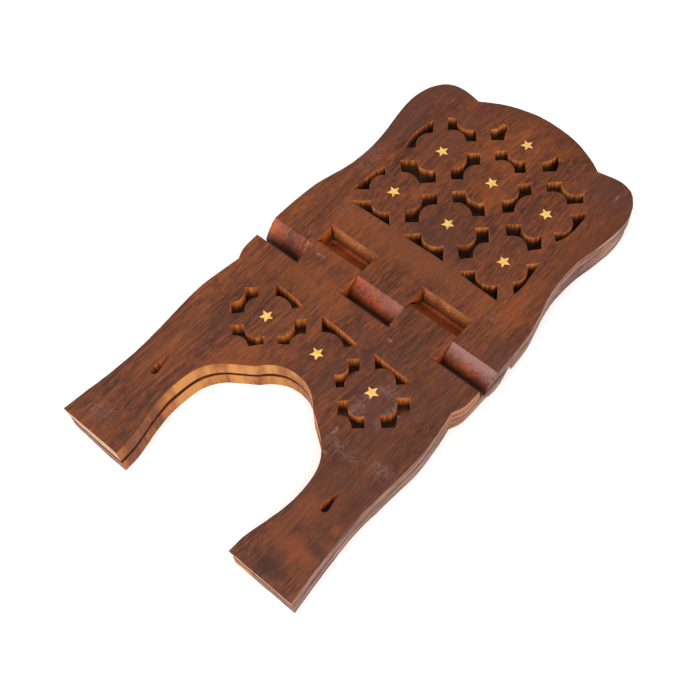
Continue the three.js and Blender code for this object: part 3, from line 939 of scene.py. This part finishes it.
def refine_star(body, node, place):
    """A hand-cut star with eased edges that lies flush in its pocket."""
    bm = bmesh.new()
    bm.from_mesh(frame["nodes"][node].data)
    bmesh.ops.remove_doubles(bm, verts=bm.verts, dist=MERGE_DISTANCE)
    outer = place[2]
    outward = 1 if outer > HINGE.z else -1
    for vert in bm.verts:
        if abs(vert.co.z - outer) < STAR_EASE:
            vert.co.z += outward * STAR_LIFT
        vert.co.x, vert.co.y = hand_cut(vert.co.x, vert.co.y, place)
    rim = [
        edge
        for edge in bm.edges
        if edge.calc_face_angle() > SHARP_RIM
        and all(abs(vert.co.z - outer - outward * STAR_LIFT) < STAR_EASE for vert in edge.verts)
    ]
    bmesh.ops.bevel(
        bm,
        geom=rim,
        offset=STAR_EASE,
        offset_type="OFFSET",
        segments=2,
        profile=0.5,
        affect="EDGES",
        clamp_overlap=True,
    )
    mesh = bpy.data.meshes.new(f"{node}_brass")
    bm.to_mesh(mesh)
    bm.free()
    mesh.materials.append(BRASS)
    star = bpy.data.objects.new(f"{node}_brass", mesh)
    bpy.context.scene.collection.objects.link(star)
    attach(star, body)
    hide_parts(node)


leaves = {}
for number, body in enumerate(frame["bodies"]):
    leaves[body] = refine_leaf(body, FIRST_SEED + SEED_STEP * number)
    for node, place in zip(star_nodes(body), star_places(body)):
        refine_star(body, node, place)


# ---------------------------------------------------------------- floor, light and camera


def make_floor():
    """A white floor that drops to the stand's lowest point when the stand is opened."""
    bpy.ops.mesh.primitive_plane_add(size=FLOOR_SIZE)
    floor = bpy.context.object
    floor.name = "floor"
    nodes = Nodes("floor_white")
    nodes.shader.inputs["Base Color"].default_value = FLOOR_WHITE
    nodes.shader.inputs["Roughness"].default_value = 0.9
    nodes.shader.inputs["Specular IOR Level"].default_value = 0.1
    nodes.shader.inputs["Emission Color"].default_value = (1.0, 1.0, 1.0, 1.0)
    nodes.shader.inputs["Emission Strength"].default_value = FLOOR_GLOW
    floor.data.materials.append(nodes.material)
    group = bpy.data.node_groups.new("floor_under_stand", "GeometryNodeTree")
    group.interface.new_socket("Geometry", in_out="INPUT", socket_type="NodeSocketGeometry")
    group.interface.new_socket("Geometry", in_out="OUTPUT", socket_type="NodeSocketGeometry")
    entry = group.nodes.new("NodeGroupInput")
    leaving = group.nodes.new("NodeGroupOutput")
    moving = group.nodes.new("GeometryNodeObjectInfo")
    moving.transform_space = "RELATIVE"
    moving.inputs["Object"].default_value = leaves[MOVING_BODY]
    box = group.nodes.new("GeometryNodeBoundBox")
    split = group.nodes.new("ShaderNodeSeparateXYZ")
    lowest = group.nodes.new("ShaderNodeMath")
    lowest.operation = "MINIMUM"
    lowest.inputs[1].default_value = 0.0
    join = group.nodes.new("ShaderNodeCombineXYZ")
    drop = group.nodes.new("GeometryNodeSetPosition")
    group.links.new(moving.outputs["Geometry"], box.inputs["Geometry"])
    group.links.new(box.outputs["Min"], split.inputs[0])
    group.links.new(split.outputs["Z"], lowest.inputs[0])
    group.links.new(lowest.outputs[0], join.inputs["Z"])
    group.links.new(entry.outputs["Geometry"], drop.inputs["Geometry"])
    group.links.new(join.outputs["Vector"], drop.inputs["Offset"])
    group.links.new(drop.outputs["Geometry"], leaving.inputs["Geometry"])
    floor.modifiers.new("under_stand", "NODES").node_group = group


def make_light():
    """A studio with white walls and floor, a dim ceiling and three broad soft lights."""
    world = bpy.data.worlds.new("studio")
    world.use_nodes = True
    bpy.context.scene.world = world
    tree = world.node_tree
    place = tree.nodes.new("ShaderNodeTexCoord").outputs["Generated"]

    def share_of(value, low, high):
        made = tree.nodes.new("ShaderNodeMapRange")
        made.interpolation_type = "SMOOTHSTEP"
        made.inputs["From Min"].default_value = low
        made.inputs["From Max"].default_value = high
        tree.links.new(value, made.inputs["Value"])
        return made.outputs["Result"]

    def towards(direction):
        made = tree.nodes.new("ShaderNodeVectorMath")
        made.operation = "DOT_PRODUCT"
        tree.links.new(place, made.inputs[0])
        made.inputs[1].default_value = Vector(direction).normalized()
        return made.outputs["Value"]

    def scaled_sum(first, factor, second):
        made = tree.nodes.new("ShaderNodeMath")
        made.operation = "MULTIPLY_ADD"
        tree.links.new(first, made.inputs[0])
        made.inputs[1].default_value = factor
        if isinstance(second, float):
            made.inputs[2].default_value = second
        else:
            tree.links.new(second, made.inputs[2])
        return made.outputs[0]

    above = share_of(towards((0, 0, 1)), *CEILING_FADE)
    level = scaled_sum(above, CEILING - WALLS, WALLS)
    for direction, power, low, high in SOFTBOXES:
        level = scaled_sum(share_of(towards(direction), low, high), power, level)
    tree.nodes["Background"].inputs["Color"].default_value = (1.0, 1.0, 1.0, 1.0)
    tree.links.new(level, tree.nodes["Background"].inputs["Strength"])


def make_camera():
    """The photo's camera. The roll turns it about its own line of sight."""
    back = Vector((
        math.sin(CAMERA_AZIMUTH) * math.cos(CAMERA_ELEVATION),
        -math.cos(CAMERA_AZIMUTH) * math.cos(CAMERA_ELEVATION),
        math.sin(CAMERA_ELEVATION),
    ))
    right = Vector((0, 0, 1)).cross(back).normalized()
    up = back.cross(right)
    turn = Matrix((right, up, back)).transposed()
    roll = Matrix.Rotation(CAMERA_ROLL, 3, "Z")
    data = bpy.data.cameras.new("camera")
    data.lens = CAMERA_LENS
    data.sensor_width = SENSOR
    data.clip_start, data.clip_end = CLIP
    camera = bpy.data.objects.new("camera", data)
    camera.location = CAMERA_AT
    camera.rotation_euler = (turn @ roll).to_euler()
    bpy.context.scene.collection.objects.link(camera)
    bpy.context.scene.camera = camera


make_floor()
make_light()
make_camera()
bpy.context.scene.view_settings.view_transform = "Standard"
